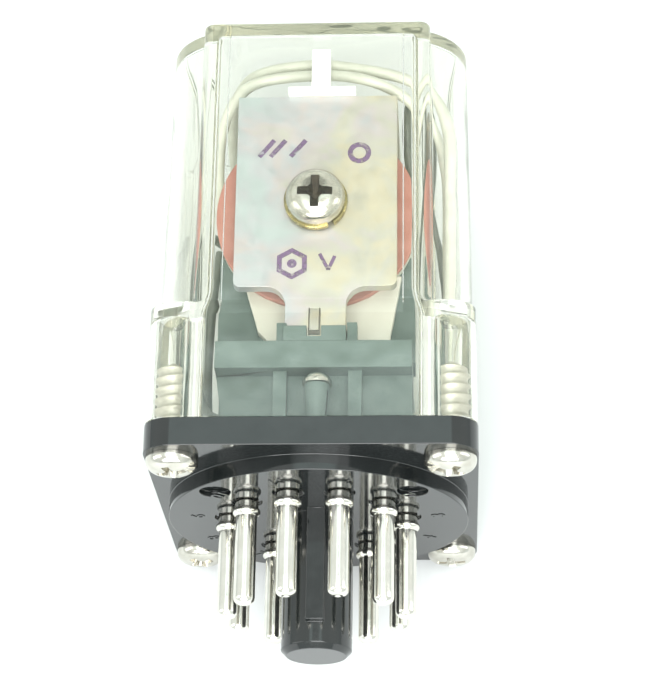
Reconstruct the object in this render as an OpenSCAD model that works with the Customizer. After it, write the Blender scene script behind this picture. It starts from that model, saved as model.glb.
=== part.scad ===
// Plug-in control relay with eleven pins, three changeover poles and a clear cover.
// It lies on its back: +Z is the side with the core screw, +Y runs to the top of the cover,
// and the pins point along -Y. The origin is on the plug axis, on the seating face of the disc.

/* [Base] */
// Width of the base plate, across X
plate_w = 36; // [35.5:0.1:37]
// Depth of the base plate, along Z
plate_d = 39.4; // [39:0.1:40.5]
// Corner radius of the base plate
plate_r = 3.3; // [2:0.1:4]
// Thickness of the base plate
plate_t = 3.2; // [3:0.1:3.6]
// Radius of the round disc that carries the pins
disc_r = 16.9; // [16.5:0.1:17.2]
// Thickness of the disc
disc_t = 1.8; // [1.5:0.1:2]
// Radius of the keyed centre post
post_r = 3.95; // [3.8:0.05:4]
// Length of the centre post below the disc
post_l = 15.75; // [14:0.25:17]
// Width of the key on the post
key_w = 2; // [1.6:0.1:2.4]
// Height of the key above the post
key_h = 0.9; // [0.6:0.1:1.2]

/* [Pins] */
// Number of pins
pin_n = 11; // [11:1:11]
// Radius of the circle of pins
pin_circle_r = 10.02; // [10:0.01:10.1]
// Outer radius of a pin
pin_r = 1.18; // [1.1:0.01:1.2]
// Bore radius of the solder cup in a pin's inner end
pin_bore_r = 0.72; // [0.6:0.02:0.8]
// Length of a pin below the disc
pin_l = 11.8; // [10:0.1:13]

/* [Cover] */
// Height of the cover's top above the seating face
cover_top_y = 54; // [53.5:0.1:56]
// Width of the cover above the shelf
cover_w = 34.6; // [34.4:0.1:35]
// Depth of the cover above the shelf, without its raised panels
cover_d = 35.2; // [35:0.1:35.6]
// Corner radius of the cover above the shelf
cover_r = 7.5; // [7:0.1:8]
// Width of the raised front and back panels
panel_w = 26; // [25.6:0.1:26.4]
// Depth of the cover over its raised panels
panel_d = 38.3; // [38:0.1:38.6]
// Width of the skirt below the shelf
skirt_w = 35.8; // [35.6:0.1:36]
// Depth of the skirt below the shelf
skirt_d = 39.1; // [39:0.1:39.4]
// Height of the shelf over the screw bosses
shelf_y = 18.8; // [18:0.1:20]
// Wall thickness of the cover
wall = 1.1; // [1:0.05:1.2]

/* [Cover screws] */
// Distance of the screws from the plug axis, along X
screw_x = 14.96; // [14.8:0.01:15]
// Distance of the screws from the plug axis, along Z
screw_z = 15.57; // [15.4:0.01:15.7]
// Radius of the screw heads
screw_head_r = 2.85; // [2.6:0.05:2.95]
// Height of the screw heads
screw_head_h = 1.7; // [1.5:0.1:1.75]
// Depth that the screws reach above the seating face
screw_tip_y = 12.4; // [11:0.1:14]

/* [Magnet] */
// Height of the coil axis above the seating face
coil_y = 33; // [32.8:0.1:33.2]
// Front face of the yoke plate
yoke_front_z = 14; // [13.9:0.1:14.2]
// Thickness of the yoke
yoke_t = 1.4; // [1.3:0.1:1.8]
// Width of the yoke plate
yoke_w = 18.3; // [18:0.1:18.4]
// Lower edge of the yoke plate
yoke_low_y = 22.6; // [22.4:0.1:22.8]
// Top of the yoke's upper leg
yoke_top_y = 46.7; // [46.6:0.1:46.8]
// Outer radius of the coil
coil_r = 10.9; // [10.6:0.1:10.9]
// Radius of the core
core_r = 3.6; // [3.4:0.1:3.6]
// Radius of the pole face at the back of the core
pole_r = 5.4; // [5:0.1:5.6]
// Air gap that stays when the armature is pulled in
closed_gap = 0.06; // [0.05:0.01:0.08]

/* [Armature] */
// Angle that the armature stands open at rest
open_angle = 3; // [2.8:0.1:3]
// Half width of the armature
armature_half_w = 7; // [6.6:0.1:7.2]
// Thickness of the armature
armature_t = 1.6; // [1.5:0.1:1.6]
// Height of the hinge pin above the seating face
hinge_y = 45; // [45:0.1:45]
// Radius of the hinge pin
hinge_pin_r = 0.75; // [0.7:0.01:0.76]

/* [Contacts] */
// Distance between neighbouring poles
pole_pitch = 6; // [6:0.1:6.2]
// Width of a contact spring
spring_w = 4; // [3.6:0.1:4.2]
// Height of the contacts above the seating face
contact_y = 13.6; // [13.4:0.1:13.8]
// Radius of the contact rivets
contact_r = 1.2; // [1:0.1:1.3]

/* [Wiring] */
// Radius of an insulated lead
lead_r = 0.65; // [0.5:0.01:0.65]

/* [Hidden] */

round_fn = 64;
small_fn = 32;
base_top_y = disc_t + plate_t;
cover_floor = 1.2;
panel_r = 1.2;
skirt_r = 3;
boss_r = 2.9;
pocket_half_w = 11.4;
pilot_r = 1.8;
pilot_top_y = 17.5;
screw_root_r = 1.35;
screw_thread_r = 1.75;
screw_pitch = 1.2;
collar_r = 1.55;
collar_y = -1.6;
collar_seat = 0.25;
pin_top_y = 6.2;
cup_floor_y = -1;
cup_fill_y = pin_top_y - 0.7;
pin_step = 360 / pin_n;

yoke_back_z = yoke_front_z - yoke_t;
leg_end_z = -8.95;
tongue_x0 = -3.25;
tongue_x1 = 3.5;
tongue_end_y = 12.6;
tongue_fillet = 2.3;
yoke_corner_r = 0.8;
pole_z = -9.2;
armature_front_z = pole_z - closed_gap;
armature_back_z = armature_front_z - armature_t;
hinge_z = armature_back_z;
knuckle_r = 1.6;
armature_low_y = 22.5;
tail_y = 50.2;
tail_t = 0.75;
hook_y = 49;
hook_z = 3.4;
flange_front_z = 10;
flange_t = 1.2;
rear_flange_z = -8.2;
tape_t = 0.4;
flange_r = 11.7;
carrier_back_z = -14.3;
carrier_low_y = 25;
carrier_top_y = 33.5;
moving_z = -12.75;
spring_t = 0.3;
button_t = 0.75;
no_face_z = -11.82;
nc_face_z = -15.42;
strip_t = 0.4;
fixed_t = 0.7;
pole_xs = [-pole_pitch, 0, pole_pitch];

spring_wire_r = 0.18;
spring_mean_r = 1.1;
spring_turns = 12;
spring_z0 = -8.6;
spring_z1 = 1.8;
spring_steps = 10;

block_x0 = -10.8;
block_x1 = 10.9;
slab_y0 = 9.2;
slab_y1 = 11;
band_y0 = 12.4;
band_y1 = 15.6;
block_front_z = 15;
recess_z = 12.5;
block_back_z = -17.3;
bay_front_z = -10.2;

// Corner points of a lead's route, chosen by hand; the curve through them is worked out below.
route_common_left = [[-6, 35.2, -14.15], [-6, 38, -14.3], [-9.6, 45.2, -15], [-11.6, 49, -8.4],
    [-11, 50.5, 2], [-9.4, 51.1, 8], [-6.6, 51.5, 11.2], [-0.4, 51.9, 12.2], [5, 51.3, 12],
    [10, 50, 12], [13.2, 47.4, 12.2], [14.8, 43, 12], [15, 36, 11.4], [15, 23, 10.6],
    [14.4, 14, 9.8], [12.4, 9.2, 9.7], [9, 7.6, 9.9], [5.4, 7.3, 9.8], [2.82, 6.9, 9.62],
    [2.82, 6.22, 9.62]];
route_coil_start = [[-11.7, 36, 5], [-12, 40, 6.6], [-11.6, 45.2, 8.2], [-9.8, 48.3, 10.6],
    [-6.8, 49.7, 12.2], [-0.4, 50.2, 12.7], [5, 49.5, 13], [9.2, 48, 12.2], [12.2, 45.6, 10.6],
    [14.2, 42, 9.2], [15, 37, 8.4], [15, 30, 7.8], [15, 22, 7.2], [14.5, 13, 6.4], [13, 9, 6.4],
    [10.2, 7.7, 6.5], [7.57, 6.9, 6.56], [7.57, 6.22, 6.56]];
route_common_right = [[6, 35.2, -14.15], [6, 38, -14.3], [9.6, 42.6, -13.8], [12.6, 46.4, -9],
    [13.2, 49.4, -2], [12.2, 50, 3.6], [10.8, 49, 7.8], [10.3, 46, 9], [10.3, 43, 8.4],
    [10.9, 39.6, 7], [12.4, 35.4, 6], [14.2, 30, 5.4], [15, 25, 5], [15, 19, 4.2], [14, 12, 2.8],
    [12, 8, 1.5], [9.92, 6.9, 1.43], [9.92, 6.22, 1.43]];
route_common_middle = [[0, 35.2, -14.15], [0, 38, -14.6], [-3, 40.4, -16.4], [-8, 40.8, -16.8],
    [-12.4, 40, -12.2], [-14.4, 37, -4], [-14.7, 28, 3], [-14.2, 17, 6.4], [-12.6, 10, 8.6],
    [-9, 7.8, 9.9], [-5.4, 7.3, 9.9], [-2.82, 6.9, 9.62], [-2.82, 6.22, 9.62]];
route_coil_finish = [[-11.7, 31, 5], [-12.4, 26, 5], [-12.9, 17, 3.6], [-12.4, 9.6, 4.4],
    [-10.4, 7.7, 6.2], [-7.57, 6.9, 6.56], [-7.57, 6.22, 6.56]];
link_r = 0.4;
link_routes = [
    [[6, 7.45, -10.8], [5.8, 7.2, -10.2], [5.42, 6.9, -8.8], [5.42, 6.22, -8.43]],
    [[0, 7.45, -10.9], [0, 7.2, -10.6], [0, 6.9, -10.2], [0, 6.22, -10.02]],
    [[-6, 7.45, -10.8], [-5.8, 7.2, -10.2], [-5.42, 6.9, -8.8], [-5.42, 6.22, -8.43]],
    [[6, 7.45, -16], [8, 7.3, -12.4], [8.8, 7.2, -7.6], [9.12, 6.9, -4.6], [9.12, 6.22, -4.16]],
    [[0, 7.45, -16], [-2.6, 6.4, -13.8], [-6, 5.8, -11.4], [-8.6, 6.2, -7.6], [-9.12, 6.9, -4.9],
        [-9.12, 6.22, -4.16]],
    [[-6, 7.45, -16], [-8.2, 8.3, -12.6], [-8.9, 8.5, -6], [-9.6, 8.2, -1.2], [-9.92, 6.9, 1.3],
        [-9.92, 6.22, 1.43]]];

function unit(v) = v / norm(v);
function tangent(p, i) = unit(p[min(i + 1, len(p) - 1)] - p[max(i - 1, 0)]);
function square_to(v, t) = unit(v - (v * t) * t);
// One point of the Catmull-Rom curve between p[i] and p[i + 1], at u from 0 to 1
function between(p, i, u) =
    let (a = p[max(i - 1, 0)], b = p[i], c = p[i + 1], d = p[min(i + 2, len(p) - 1)])
    0.5 * (2 * b + (c - a) * u + (2 * a - 5 * b + 4 * c - d) * u * u
    + (3 * b - a - 3 * c + d) * u * u * u);
function smooth(p, steps) =
    concat([for (i = [0 : len(p) - 2], s = [0 : steps - 1]) between(p, i, s / steps)], [p[len(p) - 1]]);
// Normals carried along the curve without twist
function carried(p, i, before) =
    i == len(p) ? [] : let (n = square_to(before, tangent(p, i))) concat([n], carried(p, i + 1, n));

// A round tube of n sides along the points
module tube(p, r, n) {
    first = abs(tangent(p, 0)[0]) < 0.9 ? [1, 0, 0] : [0, 0, 1];
    normals = carried(p, 0, first);
    rings = [for (i = [0 : len(p) - 1], k = [0 : n - 1])
        let (t = tangent(p, i), a = 360 * k / n)
        p[i] + r * (cos(a) * normals[i] + sin(a) * cross(t, normals[i]))];
    sides = [for (i = [0 : len(p) - 2], k = [0 : n - 1])
        [(i + 1) * n + k, (i + 1) * n + (k + 1) % n, i * n + (k + 1) % n, i * n + k]];
    first_end = [for (k = [0 : n - 1]) k];
    last_end = [for (k = [0 : n - 1]) (len(p) - 1) * n + n - 1 - k];
    polyhedron(rings, concat(sides, [first_end, last_end]));
}

// An outline in X and Z, carried along Y from y over the height h
module along_y(y, h) {
    translate([0, y, 0]) rotate([-90, 0, 0]) linear_extrude(h) mirror([0, 1]) children();
}

// An outline in Y and Z, carried along X from x over the width w
module along_x(x, w) {
    translate([x, 0, 0]) rotate([90, 0, 90]) linear_extrude(w) children();
}

// A profile of radius and height, turned about an axis along +Y
module turned_y() {
    rotate([-90, 0, 0]) rotate_extrude($fn = round_fn) children();
}

module box(low, high) {
    translate(low) cube(high - low);
}

module rounded_rect(w, d, r) {
    square([w - 2 * r, d], center = true);
    square([w, d - 2 * r], center = true);
    for (sx = [-1, 1], sz = [-1, 1])
        translate([sx * (w / 2 - r), sz * (d / 2 - r)]) circle(r, $fn = round_fn);
}

// The eleven pin places, evenly spaced, with the key between the first and the last
module at_pins() {
    for (i = [0 : pin_n - 1]) {
        a = (i + 0.5) * pin_step;
        translate([pin_circle_r * sin(a), 0, pin_circle_r * cos(a)]) children();
    }
}

module at_cover_screws() {
    for (sx = [-1, 1], sz = [-1, 1]) translate([sx * screw_x, 0, sz * screw_z]) children();
}

// A cross recess cut into a head whose top is at the origin, facing +Z
module cross_recess(size, depth) {
    for (a = [0, 90]) rotate([0, 0, a])
        translate([0, 0, -depth / 2 + 0.05]) cube([size, size * 0.24, depth + 0.1], center = true);
}

// Moves what is drawn with the armature pulled in to the open rest position
module swung_open() {
    translate([0, hinge_y, hinge_z]) rotate([open_angle, 0, 0])
        translate([0, -hinge_y, -hinge_z]) children();
}

module base() color("#101012") difference() {
    union() {
        along_y(disc_t, plate_t) rounded_rect(plate_w, plate_d, plate_r);
        along_y(0, disc_t + 0.5) circle(disc_r, $fn = round_fn);
        turned_y() polygon([[0, 0.5], [post_r, 0.5], [post_r, -post_l + 0.6], [post_r - 0.6, -post_l],
            [0, -post_l]]);
        box([-key_w / 2, -post_l + 2.9, 0], [key_w / 2, 0.5, post_r + key_h]);
        translate([0.5, base_top_y - 0.5, 14.6]) turned_y()
            polygon([[0, 0], [0.95, 0], [1.4, 5.9], [0, 5.9]]);
    }
    at_pins() translate([0, -1, 0]) turned_y() square([pin_r + 0.02, base_top_y + 2]);
    at_pins() translate([0, -1, 0]) turned_y() square([collar_r + 0.15, 1 + collar_seat]);
    at_cover_screws() translate([0, disc_t - 1, 0]) turned_y() square([1.95, plate_t + 2]);
    for (sx = [-1, 1]) translate([sx * 10.8, -0.4, 9.9]) turned_y() square([1.7, 1]);
    translate([0.5, 6.4, 14.6]) turned_y() square([0.82, 5]);
}

module plug_pins() color("#c9c6bd") at_pins() turned_y() polygon([
    [0, -pin_l + 0.25], [0.3, -pin_l], [0.65, -pin_l + 0.15], [pin_r - 0.2, -pin_l + 0.55],
    [pin_r - 0.04, -pin_l + 1.05], [pin_r, -pin_l + 1.4], [pin_r, collar_y],
    [collar_r - 0.15, collar_y + 0.1], [collar_r, collar_y + 0.35], [collar_r, collar_y + 0.75],
    [collar_r - 0.2, collar_y + 1], [collar_r - 0.2, collar_seat - 0.02], [pin_r, collar_seat - 0.02],
    [pin_r, base_top_y + 0.02], [1.75, base_top_y + 0.02], [1.6, base_top_y + 0.35],
    [pin_r, base_top_y + 0.45], [pin_r, pin_top_y], [pin_bore_r, pin_top_y], [pin_bore_r, cup_floor_y],
    [0, cup_floor_y]]);

// Solder and the bare end of a wire, in the cup of each pin
module cup_solder() color("#dedcd6") at_pins() turned_y() polygon([
    [0, cup_floor_y + 0.02], [pin_bore_r - 0.02, cup_floor_y + 0.02], [pin_bore_r - 0.02, cup_fill_y],
    [0.3, cup_fill_y + 0.25], [0, cup_fill_y + 0.25]]);

module cover_body(shrink) {
    rounded_rect(cover_w - 2 * shrink, cover_d - 2 * shrink, cover_r - shrink);
}

module cover() color([0.93, 0.94, 0.9, 0.3]) difference() {
    union() {
        along_y(base_top_y, shelf_y - base_top_y) rounded_rect(skirt_w, skirt_d, skirt_r);
        along_y(shelf_y - 0.5, cover_top_y - shelf_y + 0.5) union() {
            cover_body(0);
            rounded_rect(panel_w, panel_d, panel_r);
        }
    }
    along_y(base_top_y - 1, cover_top_y - cover_floor - base_top_y + 1) union() {
        cover_body(wall);
        rounded_rect(2 * pocket_half_w, panel_d - 2 * wall, 0.6);
    }
    along_y(base_top_y - 1, pilot_top_y - base_top_y + 1) difference() {
        rounded_rect(skirt_w - 2 * wall, skirt_d - 2 * wall, skirt_r - wall);
        for (sx = [-1, 1], sz = [-1, 1])
            translate([sx * screw_x, sz * screw_z]) circle(boss_r, $fn = round_fn);
    }
    at_cover_screws() translate([0, base_top_y - 1, 0]) turned_y()
        square([pilot_r, pilot_top_y - base_top_y + 1]);
}

// Profile of a self-tapping screw: pan head below, coarse thread above
module tapping_screw(thread_y0, thread_y1) {
    threads = floor((thread_y1 - thread_y0 - 1) / screw_pitch);
    difference() {
        turned_y() polygon([[0, -screw_head_h], [1.3, -screw_head_h + 0.08],
            [screw_head_r - 0.45, -screw_head_h + 0.6], [screw_head_r, -0.35], [screw_head_r, 0],
            [screw_root_r, 0], [screw_root_r, thread_y1 - 1], [0.3, thread_y1], [0, thread_y1]]);
        translate([0, -screw_head_h, 0]) rotate([90, 45, 0]) cross_recess(2.6, 0.9);
    }
    for (i = [0 : threads - 1]) translate([0, thread_y0 + (i + 0.3) * screw_pitch, 0]) turned_y()
        polygon([[screw_root_r - 0.1, -0.35], [screw_thread_r, -0.05], [screw_thread_r, 0.05],
            [screw_root_r - 0.1, 0.35]]);
}

module cover_screws() color("#cfccc2") at_cover_screws()
    translate([0, disc_t - 0.02, 0]) tapping_screw(plate_t + 0.5, screw_tip_y - disc_t);

module contact_block() color("#1a1b1c") difference() {
    union() {
        // Deck with its front band, and the recessed front wall below the band
        box([block_x0, band_y0, -9.2], [block_x1, band_y1, block_front_z]);
        box([block_x0, slab_y0, block_back_z], [block_x1, slab_y1, 9]);
        box([-9.6, slab_y1 - 0.1, -9.2], [9.6, band_y0 + 0.1, 8]);
        translate([0, 0, recess_z - 1]) linear_extrude(1)
            polygon([[block_x0, band_y0 + 0.1], [-9.8, base_top_y + 0.02],
                [block_x1, base_top_y + 0.02], [block_x1, band_y0 + 0.1]]);
        for (x = [-4.4, 3.85])
            box([x, base_top_y + 0.02, recess_z - 0.1], [x + 1.5, band_y0 + 0.1, 14]);
        box([-10, slab_y0, 8], [10, band_y0, recess_z - 0.9]);
        // Back wall, end walls and the barriers between the poles
        box([block_x0, base_top_y + 0.02, block_back_z], [block_x1, 15, block_back_z + 0.6]);
        for (x = [block_x0, block_x1 - 1.2])
            box([x, base_top_y + 0.02, block_back_z], [x + 1.2, 18, bay_front_z + 1.6]);
        for (x = [-0.5, 0.5] * pole_pitch)
            box([x - 0.4, slab_y1 - 0.1, block_back_z], [x + 0.4, 20, bay_front_z + 1.1]);
        box([block_x0, slab_y1 - 0.1, bay_front_z], [block_x1, 18, bay_front_z + 1.1]);
        // Cradle under the coil, behind the bobbin's apron
        box([-11.2, band_y1 - 0.1, 4.6], [11.2, 28.5, 8.7]);
        // Socket and posts for the yoke's tongue
        box([tongue_x0 - 0.1, band_y1 - 0.1, 11.2], [tongue_x1 + 0.1, 17.45, 14.9]);
        for (x = [-4.1, 3.7]) box([x, band_y1 - 0.1, 12.4], [x + 1.1, 18, 14.4]);
    }
    translate([0, coil_y, 4]) cylinder(h = 6, r = coil_r + 0.3, $fn = round_fn);
    box([tongue_x0 - 0.02, tongue_end_y - 0.05, yoke_back_z - 0.02],
        [tongue_x1 + 0.02, 19, yoke_front_z + 0.02]);
    box([-0.75, 16.2, yoke_front_z - 1], [0.85, 18, block_front_z + 1]);
    for (x = pole_xs) {
        box([x - spring_w / 2 - 0.02, slab_y0 - 1, no_face_z + fixed_t - 0.02],
            [x + spring_w / 2 + 0.02, slab_y1 + 0.5, no_face_z + fixed_t + strip_t + 0.02]);
        box([x - spring_w / 2 - 0.02, slab_y0 - 1, nc_face_z - fixed_t - strip_t - 0.02],
            [x + spring_w / 2 + 0.02, slab_y1 + 0.5, nc_face_z - fixed_t + 0.02]);
    }
}

module frame_screw() color("#d4d2ca") translate([0.5, base_top_y + 5.44, 14.6]) difference() {
    turned_y() polygon([[0, -3.6], [0.78, -3.6], [0.78, 0], [1.65, 0], [1.65, 0.4], [1.3, 0.95],
        [0.7, 1.25], [0, 1.3]]);
    translate([0, 1.3, 0]) rotate([-90, 0, 0]) cross_recess(1.5, 0.6);
}

// Outline of the yoke's front plate with its tongue and the fillets between them
module yoke_front_outline() {
    translate([-yoke_w / 2, yoke_low_y + yoke_corner_r])
        square([yoke_w, yoke_top_y - yoke_low_y - yoke_corner_r]);
    translate([0, (yoke_low_y + coil_y) / 2]) rounded_rect(yoke_w, coil_y - yoke_low_y, yoke_corner_r);
    translate([tongue_x0, tongue_end_y]) square([tongue_x1 - tongue_x0, 12]);
    for (side = [[tongue_x0, -1], [tongue_x1, 1]]) difference() {
        translate([side[0] - (side[1] < 0 ? tongue_fillet : 0.1), yoke_low_y - tongue_fillet])
            square([tongue_fillet + 0.1, tongue_fillet + 0.1]);
        translate([side[0] + side[1] * tongue_fillet, yoke_low_y - tongue_fillet])
            circle(tongue_fillet, $fn = small_fn);
    }
}

module yoke() color("#c9c4b0") {
    difference() {
        union() {
            translate([0, 0, yoke_back_z]) linear_extrude(yoke_t) yoke_front_outline();
            box([-yoke_w / 2, yoke_top_y - yoke_t, leg_end_z], [yoke_w / 2, yoke_top_y, yoke_back_z + 0.1]);
            for (x = [-yoke_w / 2, yoke_w / 2 - 1.5])
                box([x, 43.2, hinge_z - 2], [x + 1.5, yoke_top_y, leg_end_z + 3]);
            box([-1.2, yoke_top_y - 0.1, hook_z], [1.2, hook_y + 1.2, hook_z + 0.8]);
        }
        translate([0, coil_y, yoke_back_z - 1]) cylinder(h = 4, r = 2.1, $fn = small_fn);
        box([-0.6, 16.7, yoke_back_z - 1], [0.7, 19.9, yoke_front_z + 1]);
        translate([-10, hinge_y, hinge_z]) rotate([0, 90, 0])
            cylinder(h = 20, r = hinge_pin_r + 0.01, $fn = small_fn);
        translate([0, hook_y, hook_z - 1]) cylinder(h = 3, r = 0.6, $fn = small_fn);
    }
    // Tab lanced out of the slot in the tongue
    along_x(-0.45, 1) polygon([[19.95, yoke_back_z + 0.4], [20.4, yoke_back_z + 0.4],
        [20.4, yoke_front_z - 0.3], [19.2, yoke_front_z + 0.3], [17.1, yoke_front_z + 0.5],
        [17.1, yoke_front_z + 0.1], [19, yoke_front_z - 0.2]]);
}

module core() color("#b9b9b4") difference() {
    union() {
        translate([0, coil_y, rear_flange_z]) cylinder(h = yoke_back_z - rear_flange_z, r = core_r,
            $fn = round_fn);
        translate([0, coil_y, pole_z]) cylinder(h = rear_flange_z - pole_z, r = pole_r, $fn = round_fn);
    }
    translate([0, coil_y, yoke_back_z - 8]) cylinder(h = 9, r = 2.02, $fn = small_fn);
}

module core_screw() color("#d6d3c8") translate([0, coil_y, yoke_front_z + 1]) difference() {
    rotate_extrude($fn = round_fn) polygon([[0, -9.5], [2, -9.5], [2, 0], [3.35, 0], [3.35, 0.6],
        [3, 1.35], [2.1, 1.9], [0, 2.15]]);
    translate([0, 0, 2.15]) rotate([0, 0, 8]) cross_recess(3.4, 1.2);
}

module lock_washer() color("#a98a4a") translate([0, coil_y, yoke_front_z]) difference() {
    cylinder(h = 0.98, r = 3.6, $fn = round_fn);
    translate([0, 0, -1]) cylinder(h = 3, r = 2.1, $fn = small_fn);
    rotate([0, 0, -60]) translate([2.8, 0, 0.5]) rotate([30, 0, 0]) cube([3, 0.35, 3], center = true);
}

module fibre_washer() color("#a8483c") translate([0, coil_y, flange_front_z + 0.02]) difference() {
    cylinder(h = 0.75, r = flange_r, $fn = round_fn);
    translate([0, 0, -1]) cylinder(h = 3, r = 5.25, $fn = round_fn);
}

module bobbin() color("#ece4c8") difference() {
    union() {
        translate([0, coil_y, rear_flange_z]) cylinder(h = yoke_back_z - rear_flange_z - 0.02, r = 5.2,
            $fn = round_fn);
        translate([0, 0, flange_front_z - flange_t]) linear_extrude(flange_t) union() {
            translate([0, coil_y]) circle(flange_r - 0.1, $fn = round_fn);
            polygon([[-8.4, 25.6], [-6.6, 18.9], [-5.6, 17.9], [-5.4, 16], [8.3, 16], [8.4, 18.7],
                [9.6, 25.6]]);
        }
        translate([0, coil_y, rear_flange_z]) cylinder(h = flange_t, r = coil_r, $fn = round_fn);
    }
    translate([0, coil_y, rear_flange_z - 1]) cylinder(h = 30, r = core_r + 0.02, $fn = round_fn);
}

module coil_layer(inner_r, outer_r) {
    translate([0, coil_y, rear_flange_z + flange_t + 0.02]) difference() {
        cylinder(h = flange_front_z - rear_flange_z - 2 * flange_t - 0.04, r = outer_r, $fn = round_fn);
        translate([0, 0, -1]) cylinder(h = 30, r = inner_r, $fn = round_fn);
    }
}

module winding() color("#b4623a") coil_layer(5.22, coil_r - tape_t - 0.02);

module coil_tape() color("#d8ceb0") coil_layer(coil_r - tape_t, coil_r);

module hinge_pin() color("#c4c4c0") translate([-yoke_w / 2 - 0.2, hinge_y, hinge_z]) rotate([0, 90, 0])
    cylinder(h = yoke_w + 0.4, r = hinge_pin_r, $fn = small_fn);

// Extension spring from the armature's tail to the hook on the yoke
module return_spring() color("#a9a9a6") {
    helix = [for (i = [0 : spring_turns * spring_steps])
        let (a = 90 + 360 * i / spring_steps, u = i / (spring_turns * spring_steps))
        [spring_mean_r * cos(a), hook_y + spring_mean_r * sin(a), spring_z0 + (spring_z1 - spring_z0) * u]];
    tail_end = [[0, hook_y - 0.1, -11.6], [0, hook_y, -10.6], [0, hook_y, -9.4], [0, hook_y + 0.4, -8.75]];
    hook_end = [[0, hook_y + 0.5, 2.2], [0, hook_y, 2.9], [0, hook_y, 4], [0, hook_y - 0.1, 5]];
    tube(concat(tail_end, helix, hook_end), spring_wire_r, 6);
}

module lead_guide() color("#eeeae0") {
    box([-3.4, yoke_top_y + 0.02, 6.5], [4.4, yoke_top_y + 0.7, 15.2]);
    box([-0.7, yoke_top_y + 0.02, 13.8], [1.5, 52.3, 15.2]);
}

module no_terminals() color("#b98a3e") for (x = pole_xs)
    box([x - spring_w / 2, 7.9, no_face_z + fixed_t], [x + spring_w / 2, 15.4, no_face_z + fixed_t + strip_t]);

module nc_terminals() color("#b98a3e") for (x = pole_xs)
    box([x - spring_w / 2, 7.9, nc_face_z - fixed_t - strip_t], [x + spring_w / 2, 15.4, nc_face_z - fixed_t]);

module fixed_contacts() color("#e2e0da") for (x = pole_xs) {
    translate([x, contact_y, no_face_z]) cylinder(h = fixed_t, r1 = contact_r - 0.1, r2 = contact_r,
        $fn = small_fn);
    translate([x, contact_y, nc_face_z - fixed_t]) cylinder(h = fixed_t, r1 = contact_r,
        r2 = contact_r - 0.1, $fn = small_fn);
}

module contact_links() color("#c8c4b8") for (route = link_routes) tube(smooth(route, 2), link_r, 8);

module common_lead_left() color("#e6e2d4") tube(smooth(route_common_left, 2), lead_r, 8);

module common_lead_middle() color("#17181a") tube(smooth(route_common_middle, 2), lead_r, 8);

module common_lead_right() color("#17181a") tube(smooth(route_common_right, 2), lead_r, 8);

module coil_lead_start() color("#e6e2d4") tube(smooth(route_coil_start, 2), lead_r, 8);

module coil_lead_finish() color("#17181a") tube(smooth(route_coil_finish, 2), lead_r, 8);

module armature() color("#bdbab0") swung_open() difference() {
    union() {
        box([-armature_half_w, armature_low_y, armature_back_z], [armature_half_w, hinge_y, armature_front_z]);
        for (x = [-6.6, 3]) translate([x, hinge_y, hinge_z]) rotate([0, 90, 0])
            cylinder(h = 3.6, r = knuckle_r, $fn = small_fn);
        box([-2, hinge_y - 2, armature_front_z - tail_t], [2, tail_y, armature_front_z]);
    }
    translate([-10, hinge_y, hinge_z]) rotate([0, 90, 0]) cylinder(h = 20, r = hinge_pin_r + 0.05,
        $fn = small_fn);
    translate([0, hook_y, hinge_z - 1]) cylinder(h = 3, r = 0.6, $fn = small_fn);
    for (x = [-3, 3]) translate([x, 29, hinge_z - 1]) cylinder(h = 3, r = 0.82, $fn = small_fn);
}

module contact_carrier() color("#eeeae0") swung_open() difference() {
    box([-8.6, carrier_low_y, carrier_back_z], [8.6, carrier_top_y, armature_back_z]);
    for (x = pole_xs)
        box([x - spring_w / 2 - 0.02, carrier_low_y - 1, moving_z - spring_t / 2 - 0.02],
            [x + spring_w / 2 + 0.02, carrier_top_y + 1, moving_z + spring_t / 2 + 0.02]);
    for (x = [-3, 3]) translate([x, 29, carrier_back_z - 1]) cylinder(h = 6, r = 0.82, $fn = small_fn);
}

module carrier_rivets() color("#c2c0b8") swung_open() for (x = [-3, 3]) translate([x, 29, 0]) {
    translate([0, 0, carrier_back_z]) cylinder(h = armature_front_z - carrier_back_z - 0.05, r = 0.8,
        $fn = small_fn);
    translate([0, 0, carrier_back_z - 0.52]) cylinder(h = 0.5, r1 = 0.9, r2 = 1.4, $fn = small_fn);
}

module moving_springs() color("#b4873c") swung_open() for (x = pole_xs) difference() {
    translate([x, 0, moving_z - spring_t / 2]) linear_extrude(spring_t) polygon([
        [-1.5, 12.2], [1.5, 12.2], [2, 16], [2, 33.9], [1.2, 34.6], [1.2, 37], [-1.2, 37],
        [-1.2, 34.6], [-2, 33.9], [-2, 16]]);
    translate([x, contact_y, moving_z - 1]) cylinder(h = 2, r = 0.6, $fn = small_fn);
    for (rx = [-3, 3]) translate([rx, 29, moving_z - 1]) cylinder(h = 2, r = 0.9, $fn = small_fn);
}

module moving_contacts() color("#e2e0da") swung_open() for (x = pole_xs) translate([x, contact_y, 0]) {
    translate([0, 0, moving_z - spring_t / 2 - button_t]) cylinder(h = button_t - 0.02, r1 = contact_r - 0.1,
        r2 = contact_r, $fn = small_fn);
    translate([0, 0, moving_z + spring_t / 2 + 0.02]) cylinder(h = button_t - 0.02, r1 = contact_r,
        r2 = contact_r - 0.1, $fn = small_fn);
    translate([0, 0, moving_z - spring_t / 2 - 0.1]) cylinder(h = spring_t + 0.2, r = 0.58, $fn = small_fn);
}

base();
plug_pins();
cup_solder();
cover();
cover_screws();
contact_block();
frame_screw();
yoke();
core();
core_screw();
lock_washer();
fibre_washer();
bobbin();
winding();
coil_tape();
hinge_pin();
return_spring();
lead_guide();
no_terminals();
nc_terminals();
fixed_contacts();
contact_links();
common_lead_left();
common_lead_middle();
common_lead_right();
coil_lead_start();
coil_lead_finish();
armature();
contact_carrier();
carrier_rivets();
moving_springs();
moving_contacts();
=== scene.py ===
"""The looks of a plug-in control relay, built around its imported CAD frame."""

import math

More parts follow.
